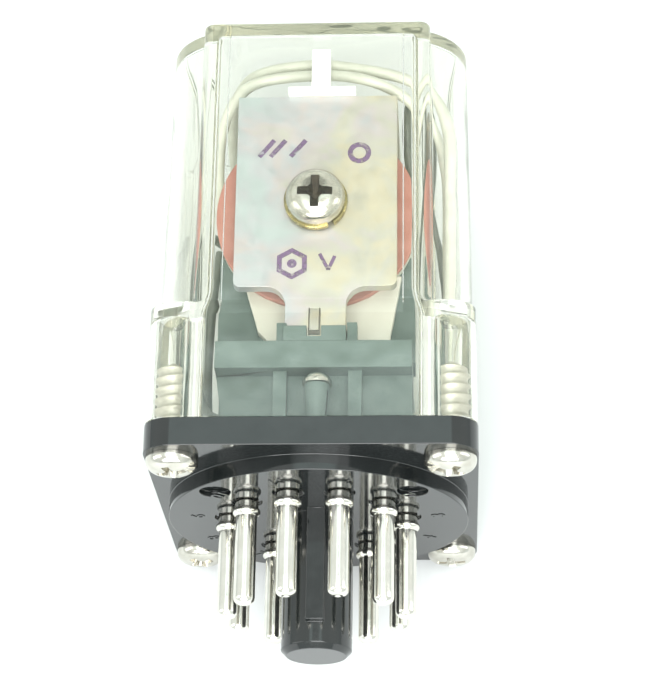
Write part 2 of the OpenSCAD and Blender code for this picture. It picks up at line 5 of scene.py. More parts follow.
import bmesh
import bpy
from mathutils import Matrix, Vector


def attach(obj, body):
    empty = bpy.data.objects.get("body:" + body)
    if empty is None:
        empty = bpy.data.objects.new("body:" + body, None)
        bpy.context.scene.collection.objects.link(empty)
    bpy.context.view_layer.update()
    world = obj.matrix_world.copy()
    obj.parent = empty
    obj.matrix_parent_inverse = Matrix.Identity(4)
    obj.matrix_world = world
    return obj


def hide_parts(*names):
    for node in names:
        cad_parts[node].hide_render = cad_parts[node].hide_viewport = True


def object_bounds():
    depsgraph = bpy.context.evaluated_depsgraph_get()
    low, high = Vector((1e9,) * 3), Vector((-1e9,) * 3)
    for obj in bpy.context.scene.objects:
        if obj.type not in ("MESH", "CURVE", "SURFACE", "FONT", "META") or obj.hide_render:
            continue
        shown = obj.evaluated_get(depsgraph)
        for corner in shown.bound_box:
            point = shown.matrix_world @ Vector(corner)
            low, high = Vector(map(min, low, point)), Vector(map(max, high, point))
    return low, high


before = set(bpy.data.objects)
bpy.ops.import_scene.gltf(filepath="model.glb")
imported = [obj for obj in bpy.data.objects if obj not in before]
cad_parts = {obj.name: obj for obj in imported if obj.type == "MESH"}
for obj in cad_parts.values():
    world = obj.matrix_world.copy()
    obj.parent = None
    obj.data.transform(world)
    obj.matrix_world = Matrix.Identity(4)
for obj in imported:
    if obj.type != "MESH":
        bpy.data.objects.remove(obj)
cad_low, cad_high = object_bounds()

MM = 0.001
HOUSING = "housing"
MOVING = "armature_assembly"


# ---------------------------------------------------------------- camera, light and floor

CAMERA_AZIMUTH = 7.44
CAMERA_ELEVATION = 66.25
CAMERA_ROLL = -7.26
CAMERA_DISTANCE = 270.8 * MM
CAMERA_AIM = Vector((1.15, 22.65, 0)) * MM
CAMERA_LENS = 123.5
# Light crosses the cover's walls lengthwise by many inner reflections.
INNER_REFLECTIONS = 24

# The light tent's colours from the horizon, at 0, to straight overhead, at 1, with a bright ring
TENT_WALL = (0.475, 0.5, 0.485)
TENT_RING = (0.76, 0.88, 0.86)
TENT_STOPS = (
    (0.0, (0.36, 0.395, 0.39)), (0.42, TENT_WALL), (0.895, TENT_WALL),
    (0.91, TENT_RING), (0.937, TENT_RING), (0.95, (0.42, 0.45, 0.44)),
)
TENT_STRENGTH = 2.3
# A dark patch of its ceiling: its direction, the cosines of the angles where it starts and where it
# is darkest, and the share of the light that is left there
PATCH_DIRECTION = (-0.07, 0.61, 0.79)
PATCH_EDGE, PATCH_MIDDLE = 0.9703, 0.9816
PATCH_SHARE = 0.25

# Each soft light's place and size in metres, its power in watts and its colour
LIGHTS = {
    "overhead": ((0, -0.05, 0.8), (0.5, 0.5), 2.6, (0.97, 1.0, 0.98)),
    "high_front": ((0.1, -0.45, 0.75), (0.6, 0.4), 3.4, (1, 1, 1)),
    "front_fill": ((0.0, -0.45, 0.25), (0.5, 0.2), 2.6, (1, 1, 1)),
    "left_side": ((-0.6, -0.1, 0.35), (0.3, 0.5), 0.9, (1, 1, 1)),
    "right_side": ((0.6, 0.05, 0.3), (0.2, 0.5), 0.6, (1, 1, 1)),
}

FLOOR_HALF = 3.0
FLOOR_GAP = 0.01 * MM
FLOOR_COLOUR = (0.63, 0.646, 0.65)


def make_camera():
    """The camera on the pin side of the relay, above it and a little to the right, slightly rolled."""
    azimuth, elevation, roll = (
        math.radians(a) for a in (CAMERA_AZIMUTH, CAMERA_ELEVATION, CAMERA_ROLL)
    )
    back = Vector((
        math.sin(azimuth) * math.cos(elevation),
        -math.cos(azimuth) * math.cos(elevation),
        math.sin(elevation),
    ))
    level = Vector((0, 0, 1)).cross(back).normalized()
    upright = back.cross(level)
    right = level * math.cos(roll) + upright * math.sin(roll)
    up = upright * math.cos(roll) - level * math.sin(roll)
    camera = bpy.data.objects.new("camera", bpy.data.cameras.new("camera"))
    bpy.context.scene.collection.objects.link(camera)
    place = Matrix((right, up, back)).transposed().to_4x4()
    place.translation = CAMERA_AIM + back * CAMERA_DISTANCE
    camera.matrix_world = place
    camera.data.lens = CAMERA_LENS
    camera.data.clip_start = 0.01
    bpy.context.scene.camera = camera


def make_world():
    """A light tent, dimmer towards the horizon, with one bright ring and one dark patch of ceiling."""
    world = bpy.data.worlds.new("light_tent")
    bpy.context.scene.world = world
    world.use_nodes = True
    tree = world.node_tree
    background = tree.nodes["Background"]
    direction = tree.nodes.new("ShaderNodeTexCoord").outputs["Generated"]
    split = tree.nodes.new("ShaderNodeSeparateXYZ")
    tree.links.new(direction, split.inputs[0])
    tent = ramped(tree, split.outputs["Z"], TENT_STOPS)
    patch = tree.nodes.new("ShaderNodeVectorMath")
    patch.operation = "DOT_PRODUCT"
    patch.inputs[1].default_value = PATCH_DIRECTION
    tree.links.new(direction, patch.inputs[0])
    dimming = ramped(tree, patch.outputs["Value"], [(PATCH_EDGE, grey(1)), (PATCH_MIDDLE, grey(PATCH_SHARE))])
    product = tree.nodes.new("ShaderNodeVectorMath")
    product.operation = "MULTIPLY"
    tree.links.new(tent, product.inputs[0])
    tree.links.new(dimming, product.inputs[1])
    tree.links.new(product.outputs[0], background.inputs["Color"])
    background.inputs["Strength"].default_value = TENT_STRENGTH


def make_light(name, place, size, power, colour):
    """A soft area light that is aimed at the object."""
    lamp = bpy.data.lights.new(name, "AREA")
    lamp.shape = "RECTANGLE"
    lamp.size, lamp.size_y = size
    lamp.energy = power
    lamp.color = colour
    light = bpy.data.objects.new(name, lamp)
    bpy.context.scene.collection.objects.link(light)
    aim = CAMERA_AIM - Vector(place)
    light.matrix_world = Matrix.Translation(place) @ aim.to_track_quat("-Z", "Y").to_matrix().to_4x4()


def make_floor():
    """A wide sheet of white paper just under the relay."""
    level = cad_low.z - FLOOR_GAP
    corners = [(x * FLOOR_HALF, y * FLOOR_HALF, level) for x, y in ((-1, -1), (1, -1), (1, 1), (-1, 1))]
    floor = mesh_object("floor", corners, [(0, 1, 2, 3)])
    finish, _, surface = new_material("white_paper")
    surface.inputs["Base Color"].default_value = (*FLOOR_COLOUR, 1)
    surface.inputs["Roughness"].default_value = 0.7
    floor.data.materials.append(finish)


# ---------------------------------------------------------------- mesh helpers, in millimetres


def mesh_object(name, points, faces):
    mesh = bpy.data.meshes.new(name)
    mesh.from_pydata([tuple(p) for p in points], [], [tuple(f) for f in faces])
    obj = bpy.data.objects.new(name, mesh)
    bpy.context.scene.collection.objects.link(obj)
    return obj


def at(x, y, z):
    """A move to this point."""
    return Matrix.Translation((x, y, z))


def along_y(x, y, z):
    """Places what is drawn about +Z so that it stands along +Y at this point."""
    return at(x, y, z) @ Matrix.Rotation(-math.pi / 2, 4, "X")


def placed(part, matrix):
    """A part, which is a list of points and a list of faces, moved by a matrix."""
    points, faces = part
    return [matrix @ Vector(p) for p in points], faces


def joined(parts):
    """Several parts as one."""
    points, faces = [], []
    for part_points, part_faces in parts:
        start = len(points)
        points += part_points
        faces += [[i + start for i in face] for face in part_faces]
    return points, faces


def on_circle(radius, degrees):
    """The point at this angle on a circle, or on an ellipse where there are two radii."""
    along, across = radius if isinstance(radius, tuple) else (radius, radius)
    angle = math.radians(degrees)
    return along * math.cos(angle), across * math.sin(angle)


def arc(cx, cy, radius, start, end, steps):
    """Points on a circle between two angles in degrees, both ends included."""
    turns = (on_circle(radius, start + (end - start) * i / steps) for i in range(steps + 1))
    return [(cx + x, cy + y) for x, y in turns]


def turned(profile, segments, closed=False):
    """The surface that a profile of (radius, height) sweeps about +Z."""
    points, faces, rings = [], [], []
    for radius, height in profile:
        count = 1 if radius < 1e-6 else segments
        rings.append(range(len(points), len(points) + count))
        points += [(*on_circle(radius, 360 * i / segments), height) for i in range(count)]
    pairs = list(zip(rings, rings[1:]))
    if closed:
        pairs.append((rings[-1], rings[0]))
    for low, high in pairs:
        for i in range(segments):
            j = (i + 1) % segments
            corners = [low[i % len(low)], low[j % len(low)], high[j % len(high)], high[i % len(high)]]
            face = list(dict.fromkeys(corners))
            if len(face) > 2:
                faces.append(face)
    return points, faces


def side_faces(count, pairs):
    """The four-sided faces between rings of this many points, for pairs of ring numbers."""
    return [
        (low * count + i, low * count + (i + 1) % count, high * count + (i + 1) % count, high * count + i)
        for low, high in pairs
        for i in range(count)
    ]


def lofted(rings):
    """A closed solid through rings of equal numbers of points, with flat ends."""
    count = len(rings[0])
    points = [p for ring in rings for p in ring]
    faces = side_faces(count, [(r, r + 1) for r in range(len(rings) - 1)])
    faces += [list(range(count))[::-1], [len(points) - count + i for i in range(count)]]
    return points, faces


def smooth_route(route, steps):
    """The Catmull-Rom curve through a route's points."""
    p = [Vector(q) for q in route]
    curve = []
    for i in range(len(p) - 1):
        a, b, c, d = p[max(i - 1, 0)], p[i], p[i + 1], p[min(i + 2, len(p) - 1)]
        for s in range(steps):
            u = s / steps
            curve.append(0.5 * (2 * b + (c - a) * u + (2 * a - 5 * b + 4 * c - d) * u * u
                                + (3 * b - a - 3 * c + d) * u ** 3))
    return curve + [p[-1]]


def tube(path, radius, sides):
    """A round tube along a path, with flat ends."""
    rings, normal = [], None
    for i, here in enumerate(path):
        along = (path[min(i + 1, len(path) - 1)] - path[max(i - 1, 0)]).normalized()
        start = normal or (Vector((1, 0, 0)) if abs(along.x) < 0.9 else Vector((0, 0, 1)))
        normal = (start - along * start.dot(along)).normalized()
        side = along.cross(normal)
        turns = (on_circle(radius, 360 * k / sides) for k in range(sides))
        rings.append([here + x * normal + y * side for x, y in turns])
    return lofted(rings)


def clean_faces(obj):
    """Joins points that coincide, and makes every face of the mesh point outwards."""
    work = bmesh.new()
    work.from_mesh(obj.data)
    bmesh.ops.remove_doubles(work, verts=work.verts, dist=0.0004 * MM)
    bmesh.ops.recalc_face_normals(work, faces=work.faces)
    work.to_mesh(obj.data)
    work.free()


def shaded(obj, crease):
    """Smooth shading that keeps edges sharper than the crease angle, with flat faces kept flat."""
    obj.data.polygons.foreach_set("use_smooth", [True] * len(obj.data.polygons))
    obj.data.set_sharp_from_angle(angle=math.radians(crease))
    modifier = obj.modifiers.new("flat_faces", "WEIGHTED_NORMAL")
    modifier.keep_sharp = True


def belongs(obj, body, slot, finish, nodes=()):
    """Gives a piece its body, its material and the CAD nodes that it stands for."""
    if finish.name not in obj.data.materials:
        obj.data.materials.append(finish)
    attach(obj, body)
    if nodes:
        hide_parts(*nodes)


def solid_object(name, part):
    """A mesh object of a part drawn in millimetres."""
    points, faces = part
    obj = mesh_object(name, [Vector(p) * MM for p in points], faces)
    clean_faces(obj)
    return obj


def piece(name, part, slot, finish, nodes=(), crease=30):
    """A new piece on the housing, from a part drawn in millimetres."""
    obj = solid_object(name, part)
    shaded(obj, crease)
    belongs(obj, HOUSING, slot, finish, nodes)


def evaluated_mesh(obj):
    """The mesh that an object's modifiers or its text make."""
    bpy.context.view_layer.update()
    graph = bpy.context.evaluated_depsgraph_get()
    return bpy.data.meshes.new_from_object(obj.evaluated_get(graph), depsgraph=graph)


def cut(obj, cutters):
    """Cuts the cutters out of a mesh, and removes them."""
    for cutter in cutters:
        modifier = obj.modifiers.new("cut", "BOOLEAN")
        modifier.object = cutter
        modifier.operation = "DIFFERENCE"
        modifier.solver = "EXACT"
    mesh = evaluated_mesh(obj)
    obj.modifiers.clear()
    obj.data = mesh
    for cutter in cutters:
        bpy.data.objects.remove(cutter)


def merge_into(obj, other):
    """Adds another object's mesh to this one, and removes the other."""
    work = bmesh.new()
    work.from_mesh(obj.data)
    work.from_mesh(other.data)
    work.to_mesh(obj.data)
    work.free()
    bpy.data.objects.remove(other)


# Edges that turn by more than this many degrees are rounded.
SHARP_EDGE = 32


def softened(name, node, width, slot, finish, body):
    """A copy of a CAD node with its sharp edges rounded over the given width."""
    work = bmesh.new()
    work.from_mesh(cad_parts[node].data)
    bmesh.ops.remove_doubles(work, verts=work.verts, dist=0.001 * MM)
    bmesh.ops.dissolve_limit(work, angle_limit=math.radians(0.4), verts=work.verts, edges=work.edges)
    work.verts.index_update()
    points = [v.co.copy() for v in work.verts]
    faces = [[v.index for v in f.verts] for f in work.faces]
    work.free()
    obj = mesh_object(name, points, faces)
    clean_faces(obj)
    bevel = obj.modifiers.new("soft_edges", "BEVEL")
    bevel.width = width * MM
    bevel.segments = 2
    bevel.limit_method = "ANGLE"
    bevel.angle_limit = math.radians(SHARP_EDGE)
    shaded(obj, SHARP_EDGE)
    belongs(obj, body, slot, finish, [node])


# ---------------------------------------------------------------- materials


def new_material(name):
    """A material, its node tree and its main shader."""
    finish = bpy.data.materials.new(name)
    finish.use_nodes = True
    return finish, finish.node_tree, finish.node_tree.nodes["Principled BSDF"]


def noise(tree, scale, detail, stretch=(1, 1, 1)):
    """Noise fixed to the object, with its scale in repeats per metre."""
    where = tree.nodes.new("ShaderNodeTexCoord")
    mapping = tree.nodes.new("ShaderNodeMapping")
    mapping.inputs["Scale"].default_value = stretch
    texture = tree.nodes.new("ShaderNodeTexNoise")
    texture.inputs["Scale"].default_value = scale
    texture.inputs["Detail"].default_value = detail
    tree.links.new(where.outputs["Object"], mapping.inputs["Vector"])
    tree.links.new(mapping.outputs["Vector"], texture.inputs["Vector"])
    return texture


def ramped(tree, source, stops):
    """A colour ramp over a factor, from (position, colour) stops."""
    ramp = tree.nodes.new("ShaderNodeValToRGB")
    elements = ramp.color_ramp.elements
    while len(elements) < len(stops):
        elements.new(0.5)
    for element, (position, colour) in zip(elements, stops):
        element.position = position
        element.color = (*colour, 1)
    tree.links.new(source, ramp.inputs["Fac"])
    return ramp.outputs["Color"]


def grey(value):
    return (value, value, value)


def bumped(tree, surface, height, strength, depth):
    """Bumps a surface by a height from 0 to 1, over a depth in millimetres."""
    bump = tree.nodes.new("ShaderNodeBump")
    bump.inputs["Strength"].default_value = strength
    bump.inputs["Distance"].default_value = depth * MM
    tree.links.new(height, bump.inputs["Height"])
    tree.links.new(bump.outputs["Normal"], surface.inputs["Normal"])


def noisy_value(tree, scale, detail, stops, stretch=(1, 1, 1)):
    """A grey value that follows noise, from (noise, value) stops."""
    drift = noise(tree, scale, detail, stretch).outputs["Fac"]
    return ramped(tree, drift, [(position, grey(value)) for position, value in stops])


def varied_finish(name, colours, roughness, scale, metallic=0.0, grain=0.0, grain_scale=3000.0,
                  stretch=(1, 1, 1), coat=0.0, ior=1.5):
    """A finish whose colour and roughness drift over the surface, with a fine grain."""
    finish, tree, surface = new_material(name)
    drift = noise(tree, scale, 4.0, stretch).outputs["Fac"]
    stops = [(0.3 + 0.4 * i / (len(colours) - 1), c) for i, c in enumerate(colours)]
    tree.links.new(ramped(tree, drift, stops), surface.inputs["Base Color"])
    rough = noisy_value(tree, scale * 3.1, 5.0, [(0.3, roughness[0]), (0.7, roughness[1])], stretch)
    tree.links.new(rough, surface.inputs["Roughness"])
    surface.inputs["Metallic"].default_value = metallic
    surface.inputs["IOR"].default_value = ior
    surface.inputs["Coat Weight"].default_value = coat
    surface.inputs["Coat Roughness"].default_value = 0.08
    if grain:
        fine = noise(tree, grain_scale, 6.0, stretch).outputs["Fac"]
        bumped(tree, surface, fine, 0.6, grain)
    return finish


def mixed(tree, share, first, second):
    """One shader that turns into another as the share goes from 0 to 1."""
    mix = tree.nodes.new("ShaderNodeMixShader")
    for source, target in zip((share, first, second), mix.inputs):
        tree.links.new(source, target)
    return mix.outputs[0]


def clear_plastic():
    """Clear moulded plastic, faintly milky, which lets the lamps light what is inside."""
    finish, tree, surface = new_material("clear_plastic")
    output = tree.nodes["Material Output"]
    # It looks warmer and darker where it is seen at a slant.
    slant = tree.nodes.new("ShaderNodeLayerWeight").outputs["Facing"]
    warmth = ramped(tree, slant, [(0.5, (0.985, 0.985, 0.962)), (0.95, (0.84, 0.835, 0.74))])
    tree.links.new(warmth, surface.inputs["Base Color"])
    surface.inputs["Roughness"].default_value = 0.0
    surface.inputs["IOR"].default_value = 1.55
    surface.inputs["Transmission Weight"].default_value = 1.0
    ripple = noise(tree, 95, 2.0).outputs["Fac"]
    bumped(tree, surface, ripple, 0.35, 0.35)
    milk = tree.nodes.new("ShaderNodeBsdfTranslucent")
    milk.inputs["Color"].default_value = (0.86, 0.93, 0.82, 1)
    milkiness = noisy_value(tree, 60, 3.0, [(0.3, 0.02), (0.7, 0.04)])
    hazy = mixed(tree, milkiness, surface.outputs[0], milk.outputs[0])
    # Shadow rays and diffuse rays go straight through.
    through = tree.nodes.new("ShaderNodeBsdfTransparent")
    through.inputs["Color"].default_value = (0.94, 0.95, 0.93, 1)
    ray = tree.nodes.new("ShaderNodeLightPath")
    either = tree.nodes.new("ShaderNodeMath")
    either.operation = "MAXIMUM"
    tree.links.new(ray.outputs["Is Shadow Ray"], either.inputs[0])
    tree.links.new(ray.outputs["Is Diffuse Ray"], either.inputs[1])
    shell = mixed(tree, either.outputs[0], hazy, through.outputs[0])
    tree.links.new(shell, output.inputs["Surface"])
    # A warm tint, so slight that it only shows along the walls
    tint = tree.nodes.new("ShaderNodeVolumeAbsorption")
    tint.inputs["Color"].default_value = (0.72, 0.62, 0.25, 1)
    tint.inputs["Density"].default_value = 16
    tree.links.new(tint.outputs[0], output.inputs["Volume"])
    return finish


def chromated_iron():
    """Passivated zinc: a pale metal that goes from bluish to straw, left to right, in faint patches."""
    finish, tree, surface = new_material("chromated_iron")
    drift = noise(tree, 130, 6.0)
    drift.inputs["Roughness"].default_value = 0.62
    drift.inputs["Distortion"].default_value = 0.5
    across = tree.nodes.new("ShaderNodeSeparateXYZ")
    slope = tree.nodes.new("ShaderNodeMath")
    slope.operation = "MULTIPLY_ADD"
    slope.inputs[1].default_value = 14
    tree.links.new(drift.inputs["Vector"].links[0].from_socket, across.inputs[0])
    tree.links.new(across.outputs["X"], slope.inputs[0])
    tree.links.new(drift.outputs["Fac"], slope.inputs[2])
    colour = ramped(tree, slope.outputs[0], [
        (0.30, (0.455, 0.505, 0.505)),
        (0.40, (0.475, 0.48, 0.50)),
        (0.48, (0.525, 0.475, 0.475)),
        (0.56, (0.505, 0.49, 0.43)),
        (0.66, (0.56, 0.51, 0.39)),
    ])
    tree.links.new(colour, surface.inputs["Base Color"])
    surface.inputs["Metallic"].default_value = 0.7
    rough = noisy_value(tree, 700, 5.0, [(0.3, 0.34), (0.7, 0.5)])
    tree.links.new(rough, surface.inputs["Roughness"])
    grain = noise(tree, 5200, 6.0, (1, 0.35, 1)).outputs["Fac"]
    bumped(tree, surface, grain, 0.5, 0.012)
    return finish


def worn_ink(name, colour):
    """Stamping ink with gaps where it has rubbed away."""
    finish, tree, surface = new_material(name)
    surface.inputs["Base Color"].default_value = (*colour, 1)
    surface.inputs["Roughness"].default_value = 0.6
    cover = noisy_value(tree, 1900, 4.0, [(0.36, 0.15), (0.56, 0.85)])
    tree.links.new(cover, surface.inputs["Alpha"])
    return finish


def make_finishes():
    """Every finish, by the short name that the pieces ask for."""
    return {
        "phenolic": varied_finish("black_phenolic", [(0.007, 0.009, 0.009), (0.012, 0.014, 0.014)],
                                  (0.05, 0.12), 260, grain=0.0015, grain_scale=1500, ior=1.6),
        "block": varied_finish("black_nylon", [(0.085, 0.125, 0.112), (0.125, 0.17, 0.155)], (0.36, 0.5), 420,
                               grain=0.001, grain_scale=4200),
        "nickel": varied_finish("bright_nickel", [(0.68, 0.665, 0.60), (0.76, 0.745, 0.69)], (0.08, 0.2), 500,
                                metallic=1.0, grain=0.006, grain_scale=2400),
        "screw": varied_finish("screw_nickel", [(0.52, 0.50, 0.44), (0.68, 0.66, 0.60)], (0.1, 0.26), 900,
                               metallic=1.0, grain=0.012, grain_scale=3200),
        "thread": varied_finish("zinc_thread", [(0.47, 0.46, 0.40), (0.58, 0.565, 0.50)], (0.5, 0.6), 900,
                                metallic=1.0, grain=0.01, grain_scale=3200),
        "chromate": chromated_iron(),
        "iron": varied_finish("soft_iron", [(0.5, 0.5, 0.47), (0.62, 0.61, 0.58)], (0.28, 0.45), 400,
                              metallic=1.0, grain=0.008),
        # Painted shade: the washer's brass is darker than the brass strip, for the shadow it lies in under
        # the core screw's head
        "washer": varied_finish("washer_brass", [(0.26, 0.21, 0.07), (0.46, 0.39, 0.18)], (0.2, 0.36), 600,
                                metallic=1.0, grain=0.006),
        "fibre": varied_finish("red_fibre", [(0.42, 0.165, 0.125), (0.49, 0.215, 0.17)], (0.45, 0.62), 500,
                               grain=0.02, grain_scale=2600),
        "ivory": varied_finish("ivory_plastic", [(0.67, 0.64, 0.56), (0.73, 0.71, 0.62)], (0.35, 0.48), 200,
                               grain=0.006),
        "copper": varied_finish("enamelled_copper", [(0.42, 0.11, 0.04), (0.55, 0.19, 0.08)], (0.2, 0.32),
                                700, metallic=0.8, coat=0.6),
        "tape": varied_finish("cream_tape", [(0.72, 0.66, 0.5), (0.79, 0.74, 0.6)], (0.25, 0.38), 220,
                              grain=0.012, grain_scale=900, coat=0.3),
        "spring": varied_finish("spring_steel", [(0.45, 0.45, 0.45), (0.6, 0.6, 0.6)], (0.2, 0.34), 800,
                                metallic=1.0),
        "white": varied_finish("white_plastic", [(0.84, 0.835, 0.8), (0.88, 0.875, 0.85)], (0.36, 0.5), 250,
                               grain=0.005),
        "brass": varied_finish("brass_strip", [(0.62, 0.44, 0.17), (0.74, 0.56, 0.26)], (0.22, 0.36), 500,
                               metallic=1.0, grain=0.004, stretch=(1, 0.3, 1)),
        "silver": varied_finish("contact_silver", [(0.82, 0.81, 0.78), (0.9, 0.89, 0.87)], (0.18, 0.34), 900,
                                metallic=1.0),
        "tinned": varied_finish("tinned_wire", [(0.66, 0.65, 0.62), (0.76, 0.75, 0.72)], (0.2, 0.34), 900,
                                metallic=1.0),
        "lead": varied_finish("lead_insulation", [(0.1, 0.115, 0.095), (0.14, 0.155, 0.13)], (0.34, 0.48),
                              500, grain=0.006),
        "pale_lead": varied_finish("pale_insulation", [(0.52, 0.52, 0.45), (0.62, 0.62, 0.54)], (0.3, 0.42),
                                   500, grain=0.006),
        # Painted shade: a near-black brown for the faces inside the core screw's cross recess, where shade
        # falls
        "recess": varied_finish("recess_painted_shade", [(0.012, 0.008, 0.005), (0.05, 0.035, 0.02)], (0.45, 0.6),
                                1500, metallic=0.6, grain=0.01),
        "bronze": varied_finish("spring_bronze", [(0.6, 0.36, 0.16), (0.72, 0.47, 0.23)], (0.22, 0.34), 400,
                                metallic=1.0, stretch=(1, 0.25, 1)),
        "clear": clear_plastic(),
        "ink": worn_ink("purple_ink", (0.16, 0.09, 0.2)),
    }


# ---------------------------------------------------------------- base, pins and post

PIN_COUNT = 11
PIN_CIRCLE = 10.02
PIN_RADIUS = 1.18
PIN_LENGTH = 11.8
TIP_ROUND = 0.76
# The bead that grips the disc: its height on the pin, and how far it spreads out and along
BEAD_Y, BEAD_OUT, BEAD_ALONG = -1.22, 0.37, 0.42
COLLAR_RADIUS, COLLAR_LOW_Y, COLLAR_HIGH_Y = 1.3, -0.72, 0.2
RIVET_RADIUS, RIVET_Y = 1.72, 5.04
CUP_RADIUS, CUP_FLOOR_Y, CUP_TOP_Y = 0.72, -1, 6.2
NUMERAL_SIZE = 2.2
NUMERAL_CIRCLE = PIN_CIRCLE + 3.7
# The boss that stands in the contact block: where it starts in Y, its half width and its back
BOSS_FOOT_Y, BOSS_HALF_W, BOSS_BACK_Z = 7.3, 3, 11


def pin_places():
    """Each pin's number and its place in X and Z."""
    for i in range(PIN_COUNT):
        angle = (i + 0.5) * 2 * math.pi / PIN_COUNT
        yield i + 1, PIN_CIRCLE * math.sin(angle), PIN_CIRCLE * math.cos(angle)


def make_pins(finishes):
    """Pins with a formed tip, a bead and a collar that grip the disc, and a riveted inner end."""
    flat = PIN_RADIUS - TIP_ROUND
    tip = [(0, 0.28 - PIN_LENGTH), (0.22, 0.1 - PIN_LENGTH), (flat, 0.02 - PIN_LENGTH)]
    tip += arc(flat, 0.02 - PIN_LENGTH + TIP_ROUND, TIP_ROUND, -90, 0, 8)[1:]
    shaft = [(PIN_RADIUS - 0.005, -9.4), (PIN_RADIUS, -8), (PIN_RADIUS, -1.78), (PIN_RADIUS + 0.05, -1.66)]
    bead = [(PIN_RADIUS + x, BEAD_Y + y)
            for x, y in (on_circle((BEAD_OUT, BEAD_ALONG), a) for a in range(-70, 80, 20))]
    collar = [(COLLAR_RADIUS, COLLAR_LOW_Y), (COLLAR_RADIUS, COLLAR_HIGH_Y),
              (PIN_RADIUS, COLLAR_HIGH_Y + 0.02)]
    rivet = [(PIN_RADIUS, RIVET_Y), (RIVET_RADIUS, RIVET_Y), (RIVET_RADIUS - 0.12, RIVET_Y + 0.28),
             (PIN_RADIUS, RIVET_Y + 0.41)]
    cup = [(PIN_RADIUS, CUP_TOP_Y), (CUP_RADIUS, CUP_TOP_Y), (CUP_RADIUS, CUP_FLOOR_Y), (0, CUP_FLOOR_Y)]
    pin = turned(tip + shaft + bead + collar + rivet + cup, 40)
    pins = joined([placed(pin, along_y(x, 0, z)) for _, x, z in pin_places()])
    piece("plug_pins_detailed", pins, "nickel", finishes["nickel"], ["plug_pins"], crease=50)


def make_pin_numbers(finishes):
    """Raised numerals 1 to 11 on the disc, outside the circle of pins."""
    for number, x, z in pin_places():
        curve = bpy.data.curves.new(f"numeral_{number}", "FONT")
        curve.body = str(number)
        curve.size = NUMERAL_SIZE * MM
        curve.extrude = 0.05 * MM
        curve.bevel_depth = 0.025 * MM
        curve.align_x = "CENTER"
        curve.align_y = "CENTER"
        numeral = bpy.data.objects.new(f"pin_numeral_{number}", curve)
        bpy.context.scene.collection.objects.link(numeral)
        out = Vector((x, 0, z)).normalized()
        right = Vector((out.z, 0, -out.x))
        facing = Matrix((-right, -out, Vector((0, -1, 0)))).transposed().to_4x4()
        facing.translation = out * NUMERAL_CIRCLE * MM
        mesh = evaluated_mesh(numeral)
        mesh.transform(facing)
        bpy.data.objects.remove(numeral)
        raised = bpy.data.objects.new(f"pin_number_{number}", mesh)
        bpy.context.scene.collection.objects.link(raised)
        raised.data.materials.clear()
        belongs(raised, HOUSING, "black_phenolic", finishes["phenolic"])


def match_boss(finishes):
    """Gives the boss that stands in the contact block the block's own duller black."""
    base = bpy.data.objects["base_soft"].data
    base.materials.append(finishes["block"])
    for face in base.polygons:
        centre = face.center / MM
        if centre.y > BOSS_FOOT_Y and abs(centre.x) < BOSS_HALF_W and centre.z > BOSS_BACK_Z:
            face.material_index = 1


# ---------------------------------------------------------------- screws

SCREW_X, SCREW_Z = 14.96, 15.57
SCREW_HEAD_RADIUS = 2.85
SCREW_HEAD_HEIGHT = 1.7
SCREW_SEAT_Y = 1.78
SCREW_TIP_Y = 12.4
THREAD_ROOT, THREAD_CREST, THREAD_PITCH = 1.5, 1.75, 1.2
THREAD_POINT = 1.1
# The reach, width and depth of the recesses
COVER_SCREW_RECESS = (1.75, 0.85, 1.15)
CORE_SCREW_RECESS = (2.1, 1.0, 1.5)
# Each cover screw's side in X and in Z, and how far its recess is turned
COVER_SCREWS = {
    "front_left": (-1, 1, 20),
    "front_right": (1, 1, 62),
    "back_left": (-1, -1, 35),
    "back_right": (1, -1, 5),
}

COIL_Y = 33
YOKE_FRONT_Z = 14
CORE_HEAD_RADIUS = 3.35
CORE_HEAD_HEIGHT = 2.15
CORE_SHANK_RADIUS = 2
CORE_SHANK_LENGTH = 9.5
CORE_SCREW_TURN = -1
# Faces of the recess, which get the painted shade, are this near the axis, and below the dome's rim or
# steeper than the dome.
RECESS_REACH, DOME_DROP, DOME_SLOPE = 2.5, 0.45, 0.75
WASHER_INNER, WASHER_OUTER = 2.15, 3.6
WASHER_THICKNESS = 0.78
# The head sits this far off the yoke plate, on the washer.
WASHER_SPACE = 1.0


def cross_cutters(reach, width, depth, top, turn):
    """Cutters for a cross recess in a head's top, which narrow towards a point and flare at the middle."""
    flare = 0.92 * width
    cutters = []
    for angle, half_length, half_width in ((0, reach, width / 2), (90, reach, width / 2), (45, flare, flare)):
        rings = []
        for z, share in ((0.3, 1.08), (0, 1.0), (-depth * 0.75, 0.52), (-depth, 0.16)):
            x, y = half_length * share, half_width * (0.35 + 0.65 * share)
            rings.append([(-x, -y, z), (x, -y, z), (x, y, z), (-x, y, z)])
        place = at(0, 0, top) @ Matrix.Rotation(math.radians(turn + angle), 4, "Z")
        cutters.append(solid_object("cutter", placed(lofted(rings), place)))
    return cutters


def threaded(length):
    """A screw thread about +Z that runs out at its two ends, the far one a blunt point."""
    sides, rows_per_turn = 40, 10
    low, high = 0.01, length
    rows = int((high - low) / THREAD_PITCH * rows_per_turn)
    rings = []
    for row in range(rows + 1):
        z = low + (high - low) * row / rows
        root = THREAD_ROOT * min(1, 0.25 + (high - z) / THREAD_POINT)
        ends = max(0, min(1, (z - low) / THREAD_PITCH, (high - z) / (1.4 * THREAD_PITCH)))
        ring = []
        for k in range(sides):
            phase = (z / THREAD_PITCH - k / sides) % 1
            height = max(0, 1 - abs(phase - 0.5) / 0.3)
            radius = root + (THREAD_CREST - THREAD_ROOT) * height * ends
            ring.append((*on_circle(radius, 360 * k / sides), z))
        rings.append(ring)
    return lofted(rings)


def pan_head(radius, height, edge):
    """A pan head's profile, which rises from z = 0 and is open below."""
    dome = [(radius * math.cos(math.radians(a)) ** 0.55, edge + (height - edge) * math.sin(math.radians(a)))
            for a in range(8, 84, 8)]
    return [(radius, 0), (radius, edge)] + dome + [(0, height)]


